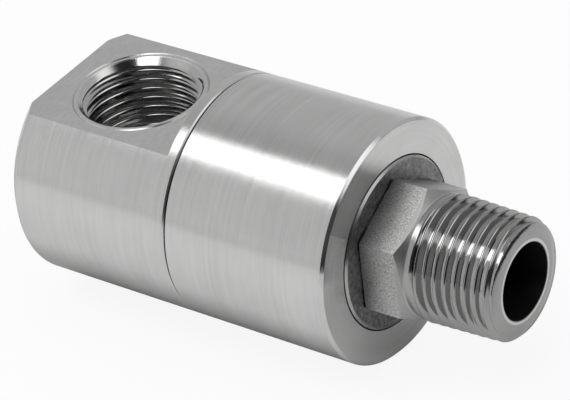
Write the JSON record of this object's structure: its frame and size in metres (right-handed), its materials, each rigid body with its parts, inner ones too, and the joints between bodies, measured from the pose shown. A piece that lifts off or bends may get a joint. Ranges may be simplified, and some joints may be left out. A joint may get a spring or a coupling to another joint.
{
  "type": "hydraulic rotary union",
  "caption": "Right-angle rotary union: round steel housing with a threaded side inlet and a hollow turning shaft with a hexagon and a male threaded outlet.",
  "frame": {"origin": "centre of the flat rear face, on the shaft's axis", "axes": "+X along the shaft's axis towards the threaded outlet, +Z out of the inlet port"},
  "size_m": [0.0882, 0.041, 0.041],
  "materials": {
    "housing_steel": "turned and polished stainless steel",
    "shaft_steel": "machined stainless steel",
    "bearing_steel": "ground bearing steel",
    "black_rubber": "moulded rubber",
    "white_ptfe": "turned PTFE",
    "spring_steel": "stamped spring steel",
    "cage_brass": "machined brass"
  },
  "bodies": {
    "housing": {"rear_housing": "housing_steel", "front_housing": "housing_steel", "housing_oring": "black_rubber", "rear_bearing_outer_ring": "bearing_steel", "front_bearing_outer_ring": "bearing_steel", "rear_bearing_shields": "black_rubber", "front_bearing_shields": "black_rubber", "outer_spacer": "bearing_steel", "preload_spring": "spring_steel", "pressure_seal": "white_ptfe", "energiser_ring": "black_rubber", "backup_ring": "white_ptfe", "seal_washer": "spring_steel", "seal_circlip": "spring_steel", "dust_seal": "black_rubber"},
    "shaft_assembly": {"shaft": "shaft_steel", "dust_disc": "shaft_steel", "rear_bearing_inner_ring": "bearing_steel", "front_bearing_inner_ring": "bearing_steel", "inner_spacer": "bearing_steel", "shaft_circlip": "spring_steel"},
    "rear_ball_set": {"rear_bearing_balls": "bearing_steel", "rear_bearing_cage": "cage_brass"},
    "front_ball_set": {"front_bearing_balls": "bearing_steel", "front_bearing_cage": "cage_brass"}
  },
  "joints": [
    {"name": "shaft_spin", "type": "hinge", "parent": "housing", "child": "shaft_assembly", "pos_m": [0.0449, 0, 0], "axis": [1, 0, 0], "continuous": true},
    {"name": "rear_ball_set_spin", "type": "hinge", "parent": "housing", "child": "rear_ball_set", "pos_m": [0.04448, 0, 0], "axis": [1, 0, 0], "continuous": true},
    {"name": "front_ball_set_spin", "type": "hinge", "parent": "housing", "child": "front_ball_set", "pos_m": [0.05548, 0, 0], "axis": [1, 0, 0], "continuous": true}
  ],
  "couplings": [
    {"joint": "rear_ball_set_spin", "follows": "shaft_spin", "ratio": 0.40842},
    {"joint": "front_ball_set_spin", "follows": "shaft_spin", "ratio": 0.40842}
  ]
}
